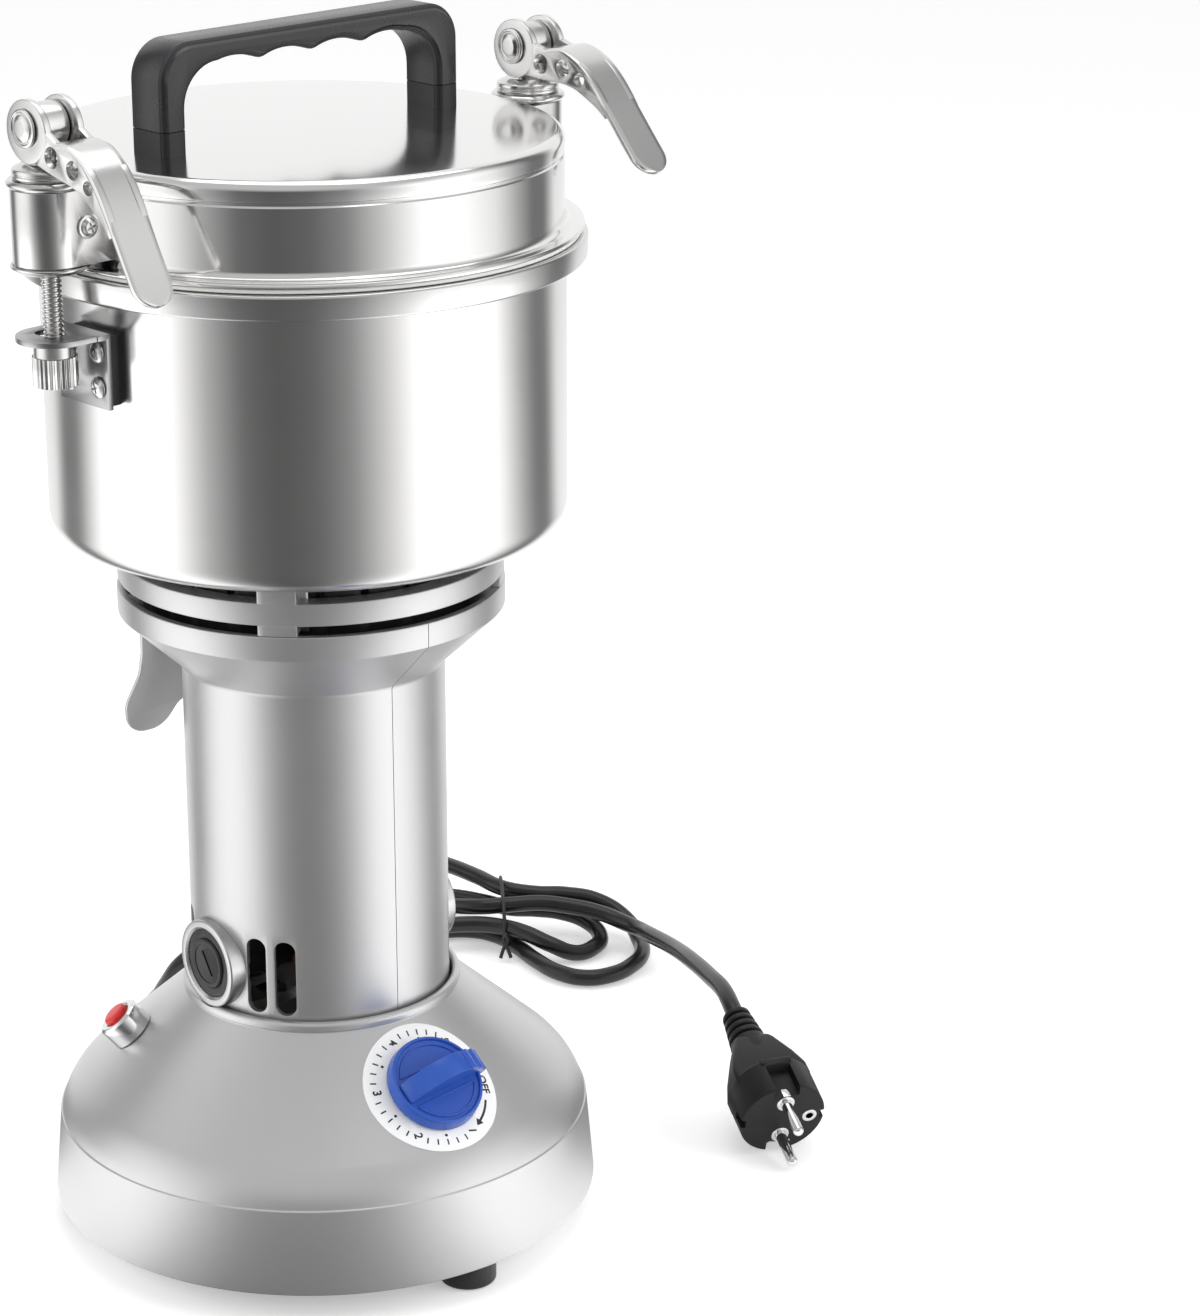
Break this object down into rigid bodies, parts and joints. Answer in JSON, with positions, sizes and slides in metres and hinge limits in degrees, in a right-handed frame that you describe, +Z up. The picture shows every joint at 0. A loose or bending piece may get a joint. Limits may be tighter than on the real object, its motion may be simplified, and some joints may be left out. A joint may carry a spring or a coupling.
{
  "type": "electric grain mill",
  "caption": "Upright electric grain mill: steel bowl with a swing lid and lever clamps on a vented motor column, round base with dial timer, overload reset and bundled mains cord.",
  "frame": {"origin": "centre of the round base, on the surface that the rubber feet stand on", "axes": "+Z up along the motor shaft; the two lid clamps lie on the X axis with the swing-lid pivot at -X; the clamp levers point to -Y, which is the front"},
  "size_m": [0.4301, 0.4157, 0.507],
  "materials": {
    "silver_paint": "satin",
    "ring_casting": "satin",
    "stainless": "polished satin",
    "lid_steel": "mirror",
    "cast_silver": "polished casting",
    "steel": "plain",
    "chrome": "bright",
    "zinc_screw": "plain",
    "black_rubber": "satin",
    "silicone": "satin",
    "black_plastic": "satin",
    "handle_plastic": "satin",
    "blue_plastic": "gloss",
    "red_plastic": "gloss",
    "dial_print": "satin print",
    "carbon": "matt",
    "brass": "plain",
    "copper": "enamelled copper",
    "lamination": "varnished sheet stack",
    "grey_metal": "as cast"
  },
  "bodies": {
    "stand": {"base_shell": "silver_paint", "base_plate": "steel", "rubber_feet": "black_rubber", "base_screws": "zinc_screw", "dial_plate": "dial_print", "timer_body": "grey_metal", "reset_bezel": "chrome", "breaker_body": "black_plastic", "column_left": "silver_paint", "column_right": "silver_paint", "brush_bezels": "chrome", "brush_holders": "black_plastic", "brush_caps": "black_plastic", "carbon_brushes": "carbon", "brush_springs": "brass", "lower_bracket": "grey_metal", "bearings": "steel", "stator_core": "lamination", "field_windings": "copper", "grille_ring": "ring_casting", "vent_sleeve": "black_plastic", "bowl": "stainless", "bowl_screws": "steel", "shaft_seal": "silicone", "ears": "steel", "ear_pads": "black_rubber", "ear_rivets": "zinc_screw", "cord_hook": "ring_casting", "strain_relief": "black_rubber", "cord_lead": "black_rubber", "cord_hank": "black_rubber", "cord_tail": "black_rubber", "cord_tie": "black_plastic", "plug_body": "black_rubber", "plug_pins": "chrome"},
    "rotor": {"rotor_shaft": "steel", "armature": "lamination", "armature_windings": "copper", "commutator": "copper", "cooling_fan": "black_plastic", "blades": "steel", "blade_nut": "steel"},
    "timer": {"timer_knob": "blue_plastic", "timer_shaft": "steel"},
    "reset": {"reset_button": "red_plastic"},
    "lid": {"lid_shell": "lid_steel", "lid_liner": "stainless", "lid_gasket": "silicone", "handle": "handle_plastic", "lid_screws": "zinc_screw", "clamp_sleeves": "stainless", "clamp_cores": "grey_metal", "clamp_plates": "stainless", "clamp_caps": "cast_silver"},
    "rod_left": {"rod_left": "steel"},
    "rod_right": {"rod_right": "steel"},
    "lever_left": {"lever_left": "cast_silver"},
    "lever_right": {"lever_right": "cast_silver"},
    "nut_left": {"nut_left": "steel"},
    "nut_right": {"nut_right": "steel"}
  },
  "joints": [
    {"name": "rotor_spin", "type": "hinge", "parent": "stand", "child": "rotor", "pos_m": [0, 0, 0.3], "axis": [0, 0, 1], "continuous": true},
    {"name": "timer_turn", "type": "hinge", "parent": "stand", "child": "timer", "pos_m": [-0.01064, -0.0808, 0.0812], "axis": [0.086, 0.6531, -0.7524], "range_deg": [0, 319]},
    {"name": "reset_press", "type": "slide", "parent": "stand", "child": "reset", "axis": [0.5396, -0.3778, -0.7524], "range_m": [0, 0.0015], "stiffness_N_per_m": 700, "springref_m": -0.001},
    {"name": "lid_swing", "type": "hinge", "parent": "stand", "child": "lid", "pos_m": [-0.1232, 0, 0.42404], "axis": [0, 0, 1], "range_deg": [0, 180]},
    {"name": "rod_left_slide", "type": "slide", "parent": "lid", "child": "rod_left", "axis": [0, 0, 1], "range_m": [-0.00246, 0]},
    {"name": "rod_right_slide", "type": "slide", "parent": "lid", "child": "rod_right", "axis": [0, 0, 1], "range_m": [-0.00219, 0.00027]},
    {"name": "lever_left_turn", "type": "hinge", "parent": "rod_left", "child": "lever_left", "pos_m": [-0.1232, 0, 0.48254], "axis": [-1, 0, 0], "range_deg": [0, 110]},
    {"name": "lever_right_turn", "type": "hinge", "parent": "rod_right", "child": "lever_right", "pos_m": [0.1232, 0, 0.48254], "axis": [-1, 0, 0], "range_deg": [-12, 98]},
    {"name": "nut_left_turn", "type": "hinge", "parent": "rod_left", "child": "nut_left", "pos_m": [-0.1232, 0, 0.39], "axis": [0, 0, 1], "continuous": true},
    {"name": "nut_right_turn", "type": "hinge", "parent": "rod_right", "child": "nut_right", "pos_m": [0.1232, 0, 0.39], "axis": [0, 0, 1], "continuous": true}
  ],
  "couplings": [
    {"joint": "lever_left_turn", "follows": "rod_left_slide", "rad_per_m": -781.24},
    {"joint": "lever_right_turn", "follows": "rod_right_slide", "rad_per_m": -781.24}
  ]
}
